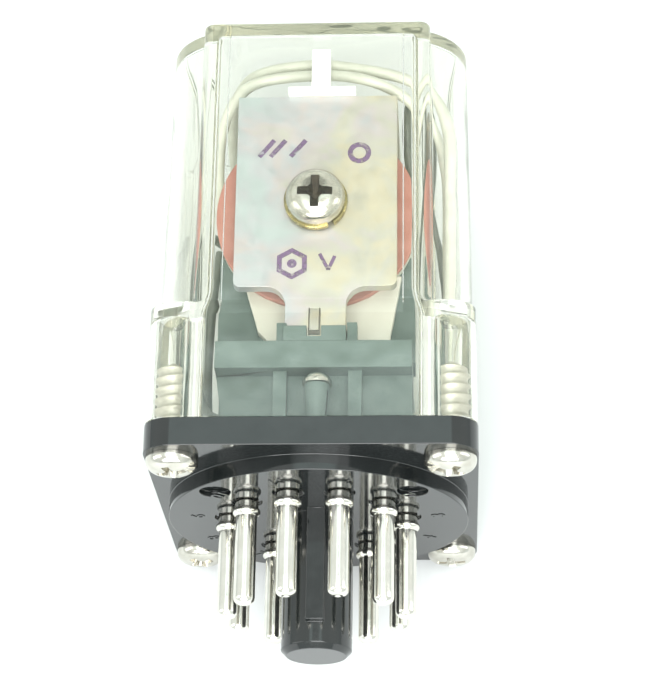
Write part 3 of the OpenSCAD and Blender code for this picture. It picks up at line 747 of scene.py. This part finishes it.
def make_cover_screws(finishes):
    """Four tapping screws through the base plate into the cover's bosses."""
    shank = placed(threaded(SCREW_TIP_Y - SCREW_SEAT_Y), along_y(0, SCREW_SEAT_Y, 0))
    head_profile = [(0, 0)] + pan_head(SCREW_HEAD_RADIUS, SCREW_HEAD_HEIGHT, 0.35)
    for name, (side_x, side_z, turn) in COVER_SCREWS.items():
        head = solid_object("head", turned(head_profile, 56))
        cut(head, cross_cutters(*COVER_SCREW_RECESS, SCREW_HEAD_HEIGHT, turn))
        head.data.transform(at(0, SCREW_SEAT_Y * MM, 0) @ Matrix.Rotation(math.pi / 2, 4, "X"))
        screw = solid_object("cover_screw_" + name, shank)
        screw.data.materials.append(finishes["screw"])
        screw.data.materials.append(finishes["thread"])
        screw.data.polygons.foreach_set("material_index", [1] * len(screw.data.polygons))
        merge_into(screw, head)
        screw.data.transform(at(side_x * SCREW_X * MM, 0, side_z * SCREW_Z * MM))
        shaded(screw, 40)
        nodes = ["cover_screws"] if name == "front_left" else []
        belongs(screw, HOUSING, "nickel", finishes["screw"], nodes)


def darken_recess(screw):
    """Gives the second finish, a painted shade, to the faces inside the core screw's recess, near its axis.
    """
    for face in screw.data.polygons:
        centre = face.center / MM
        in_head = 0.05 < centre.z < CORE_HEAD_HEIGHT and math.hypot(centre.x, centre.y) < RECESS_REACH
        deep = centre.z < CORE_HEAD_HEIGHT - DOME_DROP
        steep = abs(face.normal.z) < DOME_SLOPE
        if in_head and (deep or steep):
            face.material_index = 1


def make_core_screw(finishes):
    """The pan screw with a cross recess that holds the core to the yoke."""
    shank = [(0, -CORE_SHANK_LENGTH), (CORE_SHANK_RADIUS - 0.4, -CORE_SHANK_LENGTH),
             (CORE_SHANK_RADIUS, 0.5 - CORE_SHANK_LENGTH), (CORE_SHANK_RADIUS, 0)]
    profile = shank + pan_head(CORE_HEAD_RADIUS, CORE_HEAD_HEIGHT, 0.5)
    screw = solid_object("core_screw_detailed", turned(profile, 72))
    cut(screw, cross_cutters(*CORE_SCREW_RECESS, CORE_HEAD_HEIGHT, CORE_SCREW_TURN))
    screw.data.materials.append(finishes["screw"])
    # The second finish is the painted shade inside the cross recess.
    screw.data.materials.append(finishes["recess"])
    darken_recess(screw)
    screw.data.transform(at(0, COIL_Y * MM, (YOKE_FRONT_Z + WASHER_SPACE) * MM))
    shaded(screw, 35)
    belongs(screw, HOUSING, "nickel", finishes["screw"], ["core_screw"])


def make_lock_washer(finishes):
    """A split spring washer, its ends a little apart in height."""
    steps, gap, bevel, lift = 72, 12, 0.12, 0.2
    rings = []
    for i in range(steps + 1):
        degrees = -60 + gap / 2 + (360 - gap) * i / steps
        low = lift * i / steps
        high = low + WASHER_THICKNESS
        section = [(WASHER_INNER, low), (WASHER_OUTER - bevel, low), (WASHER_OUTER, low + bevel),
                   (WASHER_OUTER, high - bevel), (WASHER_OUTER - bevel, high), (WASHER_INNER, high)]
        rings.append([(*on_circle(radius, degrees), z) for radius, z in section])
    # Its finish is brass darkened as painted shade.
    washer = placed(lofted(rings), at(0, COIL_Y, YOKE_FRONT_Z + 0.005))
    piece("lock_washer_detailed", washer, "washer_brass", finishes["washer"], ["lock_washer"])


# ---------------------------------------------------------------- coil

COIL_RADIUS = 10.9
TAPE_THICKNESS = 0.38
TAPE_LAP = 0.09
WINDING_RADIUS = 10.36
WINDING_INNER = 5.24
WINDING_BACK_Z, WINDING_FRONT_Z = -6.98, 8.78
WIRE_PITCH = 0.36
FLANGE_RADIUS = 11.7
FIBRE_HOLE = 5.25
FIBRE_THICKNESS = 0.75
FIBRE_BACK_Z = 10.02


def make_winding(finishes):
    """The winding as one ring, with a ripple on its outside for each turn of wire."""
    low, high = WINDING_BACK_Z, WINDING_FRONT_Z
    turns = int((high - low) / WIRE_PITCH)
    profile = []
    for i in range(turns):
        start = low + (high - low) * i / turns
        profile += [(WINDING_RADIUS + 0.08 * math.sin(math.radians(a)), start + WIRE_PITCH * a / 180)
                    for a in (0, 60, 120)]
    profile += [(WINDING_RADIUS, high), (WINDING_INNER, high), (WINDING_INNER, low)]
    winding = placed(turned(profile, 72, closed=True), at(0, COIL_Y, 0))
    piece("winding_detailed", winding, "copper_wire", finishes["copper"], ["winding"], crease=60)


def make_coil_tape(finishes):
    """The tape, whose end laps over its start, so that its outside grows a little over the turn."""
    steps = 96
    low, high = WINDING_BACK_Z, WINDING_FRONT_Z
    inner = COIL_RADIUS - TAPE_THICKNESS
    rings = []
    for i in range(steps + 1):
        outer = COIL_RADIUS - TAPE_LAP + TAPE_LAP * i / steps
        section = [(inner, low), (outer, low), (outer, high), (inner, high)]
        rings.append([(*on_circle(radius, 200 + 359.9 * i / steps), z) for radius, z in section])
    tape = placed(lofted(rings), at(0, COIL_Y, 0))
    piece("coil_tape_detailed", tape, "cream_tape", finishes["tape"], ["coil_tape"])


def make_fibre_washer(finishes):
    """The red washer on the coil's front, with its edges broken."""
    edge = 0.12
    profile = [(FIBRE_HOLE, 0), (FLANGE_RADIUS - edge, 0), (FLANGE_RADIUS, edge),
               (FLANGE_RADIUS, FIBRE_THICKNESS - edge), (FLANGE_RADIUS - edge, FIBRE_THICKNESS),
               (FIBRE_HOLE + edge, FIBRE_THICKNESS), (FIBRE_HOLE, FIBRE_THICKNESS - edge)]
    washer = placed(turned(profile, 96, closed=True), at(0, COIL_Y, FIBRE_BACK_Z))
    piece("fibre_washer_detailed", washer, "red_fibre", finishes["fibre"], ["fibre_washer"])


# ---------------------------------------------------------------- leads, links and springs

LEAD_RADIUS = 0.65
PALE_LEADS = ("common_lead_left", "coil_lead_start")
LINK_RADIUS = 0.4
LEAD_ROUTES = {
    "common_lead_left": [
        (-6, 35.2, -14.15), (-6, 38, -14.3), (-9.6, 45.2, -15), (-11.6, 49, -8.4), (-11, 50.5, 2),
        (-9.4, 51.1, 8), (-6.6, 51.5, 11.2), (-0.4, 51.9, 12.2), (5, 51.3, 12), (10, 50, 12),
        (13.2, 47.4, 12.2), (14.8, 43, 12), (15, 36, 11.4), (15, 23, 10.6), (14.4, 14, 9.8),
        (12.4, 9.2, 9.7), (9, 7.6, 9.9), (5.4, 7.3, 9.8), (2.82, 6.9, 9.62), (2.82, 6.22, 9.62),
    ],
    "coil_lead_start": [
        (-11.7, 36, 5), (-12, 40, 6.6), (-11.6, 45.2, 8.2), (-9.8, 48.3, 10.6), (-6.8, 49.7, 12.2),
        (-0.4, 50.2, 12.7), (5, 49.5, 13), (9.2, 48, 12.2), (12.2, 45.6, 10.6), (14.2, 42, 9.2),
        (15, 37, 8.4), (15, 30, 7.8), (15, 22, 7.2), (14.5, 13, 6.4), (13, 9, 6.4), (10.2, 7.7, 6.5),
        (7.57, 6.9, 6.56), (7.57, 6.22, 6.56),
    ],
    "common_lead_right": [
        (6, 35.2, -14.15), (6, 38, -14.3), (9.6, 42.6, -13.8), (12.6, 46.4, -9), (13.2, 49.4, -2),
        (12.2, 50, 3.6), (10.8, 49, 7.8), (10.3, 46, 9), (10.3, 43, 8.4), (10.9, 39.6, 7), (12.4, 35.4, 6),
        (14.2, 30, 5.4), (15, 25, 5), (15, 19, 4.2), (14, 12, 2.8), (12, 8, 1.5), (9.92, 6.9, 1.43),
        (9.92, 6.22, 1.43),
    ],
    "common_lead_middle": [
        (0, 35.2, -14.15), (0, 38, -14.6), (-3, 40.4, -16.4), (-8, 40.8, -16.8), (-12.4, 40, -12.2),
        (-14.4, 37, -4), (-14.7, 28, 3), (-14.2, 17, 6.4), (-12.6, 10, 8.6), (-9, 7.8, 9.9),
        (-5.4, 7.3, 9.9), (-2.82, 6.9, 9.62), (-2.82, 6.22, 9.62),
    ],
    "coil_lead_finish": [
        (-11.7, 31, 5), (-12.4, 26, 5), (-12.9, 17, 3.6), (-12.4, 9.6, 4.4), (-10.4, 7.7, 6.2),
        (-7.57, 6.9, 6.56), (-7.57, 6.22, 6.56),
    ],
}
LINK_ROUTES = [
    [(6, 7.45, -10.8), (5.8, 7.2, -10.2), (5.42, 6.9, -8.8), (5.42, 6.22, -8.43)],
    [(0, 7.45, -10.9), (0, 7.2, -10.6), (0, 6.9, -10.2), (0, 6.22, -10.02)],
    [(-6, 7.45, -10.8), (-5.8, 7.2, -10.2), (-5.42, 6.9, -8.8), (-5.42, 6.22, -8.43)],
    [(6, 7.45, -16), (8, 7.3, -12.4), (8.8, 7.2, -7.6), (9.12, 6.9, -4.6), (9.12, 6.22, -4.16)],
    [(0, 7.45, -16), (-2.6, 6.4, -13.8), (-6, 5.8, -11.4), (-8.6, 6.2, -7.6), (-9.12, 6.9, -4.9),
     (-9.12, 6.22, -4.16)],
    [(-6, 7.45, -16), (-8.2, 8.3, -12.6), (-8.9, 8.5, -6), (-9.6, 8.2, -1.2), (-9.92, 6.9, 1.3),
     (-9.92, 6.22, 1.43)],
]


def make_wires(finishes):
    """The insulated leads, and the bare links from the fixed terminals to the pins."""
    for node, route in LEAD_ROUTES.items():
        lead = tube(smooth_route(route, 8), LEAD_RADIUS, 20)
        slot, finish = ("pale_insulation", "pale_lead") if node in PALE_LEADS else ("lead_insulation", "lead")
        piece(node + "_detailed", lead, slot, finishes[finish], [node], crease=50)
    links = joined([tube(smooth_route(route, 6), LINK_RADIUS, 14) for route in LINK_ROUTES])
    piece("contact_links_detailed", links, "tinned_wire", finishes["tinned"], ["contact_links"], crease=50)


def make_return_spring(finishes):
    """A close-wound extension spring from the armature's tail to the yoke's hook."""
    mean, wire, turns, low, high, hook_y = 1.1, 0.18, 12, -8.6, 1.8, 49
    steps = 28
    helix = []
    for i in range(turns * steps + 1):
        x, y = on_circle(mean, 90 + 360 * i / steps)
        helix.append(Vector((x, hook_y + y, low + (high - low) * i / (turns * steps))))
    tail = [(0, hook_y - 0.1, -11.6), (0, hook_y, -10.6), (0, hook_y, -9.4), (0, hook_y + 0.4, -8.75)]
    hook = [(0, hook_y + 0.5, 2.2), (0, hook_y, 2.9), (0, hook_y, 4), (0, hook_y - 0.1, 5)]
    spring = tube(smooth_route(tail, 3) + helix + smooth_route(hook, 3), wire, 10)
    piece("return_spring_detailed", spring, "spring_steel", finishes["spring"], ["return_spring"], crease=50)


# ---------------------------------------------------------------- cover

COVER_TOP_Y = 54
COVER_FLOOR = 1.2
BASE_TOP_Y = 5
RIM_Y = BASE_TOP_Y + 0.02
SHELF_Y = 18.8
PILOT_TOP_Y = 17.5
PILOT_RADIUS = 1.8
WALL = 1.1
PANEL_HALF_W = 13
PANEL_CORNER, PANEL_FILLET = 1.2, 0.5
BODY_CORNER = 7.5
SKIRT_CORNER = 3.0
BOSS_RADIUS = 2.9
# The pocket behind the panel, with a shallow ledge along each side
POCKET_EDGE = 11.4
POCKET_CORNER, POCKET_FILLET = 0.6, 0.4
LEDGE_X, LEDGE_WIDTH = 10, 0.12
LEDGE_DEPTH = 0.15
# Where the flat stretch of each side wall starts, below the shelf
SIDE_Z = 10
# Half sizes of the cover at the base, at the shelf and at the top, which taper for the mould
SKIRT_HALF_W = (17.9, 17.85)
BODY_HALF_W = (17.55, 17.2)
BODY_HALF_D = (17.75, 17.4)
PANEL_HALF_D = (19.5, 19.3, 19.0)


def between(ends, share):
    """The value this share of the way from the first end to the second."""
    return ends[0] + (ends[1] - ends[0]) * share


def mirrored(quarter):
    """A closed outline from the quarter with X and Z positive, drawn from front to side."""
    backwards = quarter[::-1]
    return (quarter + [(x, -z) for x, z in backwards] + [(-x, -z) for x, z in quarter]
            + [(-x, z) for x, z in backwards])


def at_height(outline, y):
    return [(x, y, z) for x, z in outline]


def body_share(y):
    """How far up the body a height is, from 0 at the shelf to 1 at the top."""
    return max(0, (y - SHELF_Y) / (COVER_TOP_Y - SHELF_Y))


def body_outline(share, inset, edge, convex, concave, ledge=0):
    """The cover above the shelf: round corners, with the panel's edge at this half width."""
    half_w, half_d = between(BODY_HALF_W, share), between(BODY_HALF_D, share)
    panel_z = between(PANEL_HALF_D[1:], share) - max(inset, 0)
    cx, cz = half_w - BODY_CORNER, half_d - BODY_CORNER
    radius = BODY_CORNER - inset
    jog_x = edge + concave
    jog_z = cz + math.sqrt((radius + concave) ** 2 - (jog_x - cx) ** 2)
    meet = math.degrees(math.atan2(jog_z - cz, jog_x - cx))
    quarter = [(LEDGE_X - LEDGE_WIDTH, panel_z), (LEDGE_X, panel_z - ledge)]
    quarter += arc(edge - convex, panel_z - ledge - convex, convex, 90, 0, 5)
    quarter += arc(jog_x, jog_z, concave, 180, 180 + meet, 4)
    quarter += arc(cx, cz, radius, meet, 0, 12)[1:]
    quarter += [(half_w - inset, cz * (1 - k / 4)) for k in (1, 2, 3)]
    return mirrored(quarter)


def skirt_outline(share, inset):
    """The cover below the shelf, with as many points as the outline above it."""
    half_w = between(SKIRT_HALF_W, share) - inset
    half_d = between(PANEL_HALF_D[:2], share) - inset
    front = PANEL_HALF_W - PANEL_CORNER
    quarter = [(LEDGE_X - LEDGE_WIDTH, half_d), (LEDGE_X, half_d)]
    quarter += [(front + 0.2 * k, half_d) for k in range(6)]
    quarter += [(front + 1.3 + 0.4 * k, half_d) for k in range(5)]
    quarter += arc(half_w - SKIRT_CORNER, half_d - SKIRT_CORNER, SKIRT_CORNER, 84, 0, 11)
    quarter += [(half_w, SIDE_Z * (1 - k / 4)) for k in (1, 2, 3)]
    return mirrored(quarter)


def rim_outline(share):
    """The hollow between the bosses, below the shelf."""
    half_w, half_d = between(SKIRT_HALF_W, share) - WALL, between(PANEL_HALF_D[:2], share) - WALL
    edge_x, edge_z, fillet = SCREW_X - BOSS_RADIUS, SCREW_Z - BOSS_RADIUS, 0.6
    quarter = [(LEDGE_X - LEDGE_WIDTH, half_d), (LEDGE_X, half_d)]
    quarter += arc(edge_x - fillet, half_d - fillet, fillet, 90, 0, 5)
    quarter += arc(SCREW_X, SCREW_Z, BOSS_RADIUS, 180, 270, 11)
    quarter += arc(half_w - fillet, edge_z - fillet, fillet, 90, 0, 4)
    quarter += [(half_w, SIDE_Z * (1 - k / 4)) for k in (1, 2, 3)]
    return mirrored(quarter)


def shelf_edge(skirt, body, radius, steps):
    """Rings that round the skirt's top edge over into the flat shelf."""
    for step in range(steps + 1):
        angle = math.pi / 2 * step / steps
        ring = []
        for (x0, z0), (x1, z1) in zip(skirt, body):
            width = math.hypot(x1 - x0, z1 - z0)
            reach = min(radius, 0.6 * width)
            share = reach * (1 - math.cos(angle)) / max(width, 1e-6)
            y = SHELF_Y - reach * (1 - math.sin(angle))
            ring.append((x0 + (x1 - x0) * share, y, z0 + (z1 - z0) * share))
        yield ring


def cover_outside():
    """Rings from the rim up to the rounded edge of the top."""
    flare, top_round = 0.28, 0.5
    rings = [at_height(skirt_outline(0, 0.1), RIM_Y), at_height(skirt_outline(0, 0), RIM_Y + 0.12)]
    wide = body_outline(0, -flare, PANEL_HALF_W, PANEL_CORNER, PANEL_FILLET)
    rings += shelf_edge(skirt_outline(1, 0), wide, 0.45, 5)
    for x, y in arc(flare, SHELF_Y + flare, flare, 270, 180, 4):
        rings.append(at_height(body_outline(0, -x, PANEL_HALF_W, PANEL_CORNER, PANEL_FILLET), y + 0.002))
    for x, y in arc(-top_round, COVER_TOP_Y - top_round, top_round, 0, 90, 6):
        outline = body_outline(body_share(y), -x, PANEL_HALF_W + x, PANEL_CORNER + x, PANEL_FILLET - x)
        rings.append(at_height(outline, y))
    return rings


def cover_hollow():
    """Rings from the rim up between the bosses, and on to the rounded edge of the ceiling."""
    ceiling, ceiling_round = COVER_TOP_Y - COVER_FLOOR, 0.6
    boss_edge = SCREW_X - BOSS_RADIUS
    rings = [at_height(rim_outline(0), RIM_Y), at_height(rim_outline(1), PILOT_TOP_Y)]
    for y, edge, ledge in ((PILOT_TOP_Y + 0.003, boss_edge, 0), (18.3, boss_edge - 0.1, 0.04),
                           (19.3, POCKET_EDGE + 0.2, 0.1), (20.4, POCKET_EDGE, LEDGE_DEPTH)):
        outline = body_outline(body_share(y), WALL, edge, POCKET_CORNER, POCKET_FILLET, ledge)
        rings.append(at_height(outline, y))
    for x, y in arc(-ceiling_round, ceiling - ceiling_round, ceiling_round, 0, 90, 5):
        corner = max(POCKET_CORNER + x, 0.1)
        outline = body_outline(1, WALL - x, POCKET_EDGE + x, corner, POCKET_FILLET - x, LEDGE_DEPTH)
        rings.append(at_height(outline, y))
    return rings


def make_cover(finishes):
    """The cover as one closed shell, with a pilot hole up each of its four screw bosses."""
    cover = solid_object("cover_detailed", lofted(cover_outside()[::-1] + cover_hollow()))
    pilot = turned([(0, BASE_TOP_Y - 1), (PILOT_RADIUS, BASE_TOP_Y - 1), (PILOT_RADIUS, PILOT_TOP_Y - 0.5),
                    (PILOT_RADIUS - 0.25, PILOT_TOP_Y), (0, PILOT_TOP_Y)], 40)
    cut(cover, [solid_object("cutter", placed(pilot, along_y(sx * SCREW_X, 0, sz * SCREW_Z)))
                for sx in (-1, 1) for sz in (-1, 1)])
    shaded(cover, 28)
    belongs(cover, HOUSING, "clear_cover", finishes["clear"], ["cover"])


# ---------------------------------------------------------------- marks

INK_GAP, INK_THICKNESS = 0.004, 0.01
# Where the marks stand on the yoke plate, in X and Y
BARS_X, BARS_LOW_Y, BARS_HIGH_Y = (-6.6, -5.3, -3.0), 38.9, 41.0
RING_CENTRE = (4.85, 39.3)
HEXAGON_CENTRE = (-2.6, 25.4)
CHEVRON = ((0.5, 26.6), (1.5, 24.6), (2.2, 26.3))


def ink_film(outline, hole=None):
    """A thin film of ink on the yoke plate, with its outline in X and Y."""
    low = YOKE_FRONT_Z + INK_GAP
    high = low + INK_THICKNESS
    rings = [(outline, low), (outline, high)]
    if hole is None:
        return lofted([[(x, y, z) for x, y in ring] for ring, z in rings])
    rings += [(hole, high), (hole, low)]
    points = [(x, y, z) for ring, z in rings for x, y in ring]
    return points, side_faces(len(outline), [(r, (r + 1) % 4) for r in range(4)])


def ink_bar(start, end, width):
    """A straight stroke of ink between two points."""
    start, end = Vector(start), Vector(end)
    along = (end - start).normalized() * width / 2
    side = Vector((-along.y, along.x))
    return ink_film([start - side, end - side, end + side, start + side])


def make_marks(finishes):
    """Generic stamped marks: three slanted bars, a ring, a hexagon with a dot, and a chevron."""
    marks = [ink_bar((x, BARS_LOW_Y), (x + 1.7, BARS_HIGH_Y), 0.55) for x in BARS_X]
    marks.append(ink_film(arc(*RING_CENTRE, 1.35, 0, 354, 40), arc(*RING_CENTRE, 0.75, 0, 354, 40)))
    marks.append(ink_film(arc(*HEXAGON_CENTRE, 1.95, 30, 330, 5), arc(*HEXAGON_CENTRE, 1.3, 30, 330, 5)))
    marks.append(ink_film(arc(*HEXAGON_CENTRE, 0.55, 0, 345, 23)))
    marks += [ink_bar(start, end, 0.4) for start, end in zip(CHEVRON, CHEVRON[1:])]
    piece("ink_marks", joined(marks), "chromate_iron", finishes["ink"])


# ---------------------------------------------------------------- the whole relay

SOFTENED = (
    # node, edge radius, slot, finish, body
    ("base", 0.2, "black_phenolic", "phenolic", HOUSING),
    ("cup_solder", 0.05, "solder", "tinned", HOUSING),
    ("contact_block", 0.1, "black_nylon", "block", HOUSING),
    ("frame_screw", 0.05, "nickel", "screw", HOUSING),
    ("yoke", 0.1, "chromate_iron", "chromate", HOUSING),
    ("core", 0.1, "soft_iron", "iron", HOUSING),
    ("bobbin", 0.12, "ivory_plastic", "ivory", HOUSING),
    ("hinge_pin", 0.1, "soft_iron", "iron", HOUSING),
    ("lead_guide", 0.1, "white_plastic", "white", HOUSING),
    ("no_terminals", 0.06, "brass_strip", "brass", HOUSING),
    ("nc_terminals", 0.06, "brass_strip", "brass", HOUSING),
    ("fixed_contacts", 0.08, "silver", "silver", HOUSING),
    ("armature", 0.12, "soft_iron", "iron", MOVING),
    ("contact_carrier", 0.15, "white_plastic", "white", MOVING),
    ("carrier_rivets", 0.08, "rivet_steel", "iron", MOVING),
    ("moving_springs", 0.05, "spring_bronze", "bronze", MOVING),
    ("moving_contacts", 0.08, "silver", "silver", MOVING),
)

make_camera()
make_world()
make_floor()
for name, light in LIGHTS.items():
    make_light(name, *light)
bpy.context.scene.view_settings.view_transform = "Standard"
for kind in ("max_bounces", "glossy_bounces", "transmission_bounces"):
    setattr(bpy.context.scene.cycles, kind, INNER_REFLECTIONS)

finishes = make_finishes()
for node, width, slot, finish, body in SOFTENED:
    softened(node + "_soft", node, width, slot, finishes[finish], body)
match_boss(finishes)
make_pins(finishes)
make_pin_numbers(finishes)
make_cover_screws(finishes)
make_core_screw(finishes)
make_lock_washer(finishes)
make_winding(finishes)
make_coil_tape(finishes)
make_fibre_washer(finishes)
make_wires(finishes)
make_return_spring(finishes)
make_marks(finishes)
make_cover(finishes)
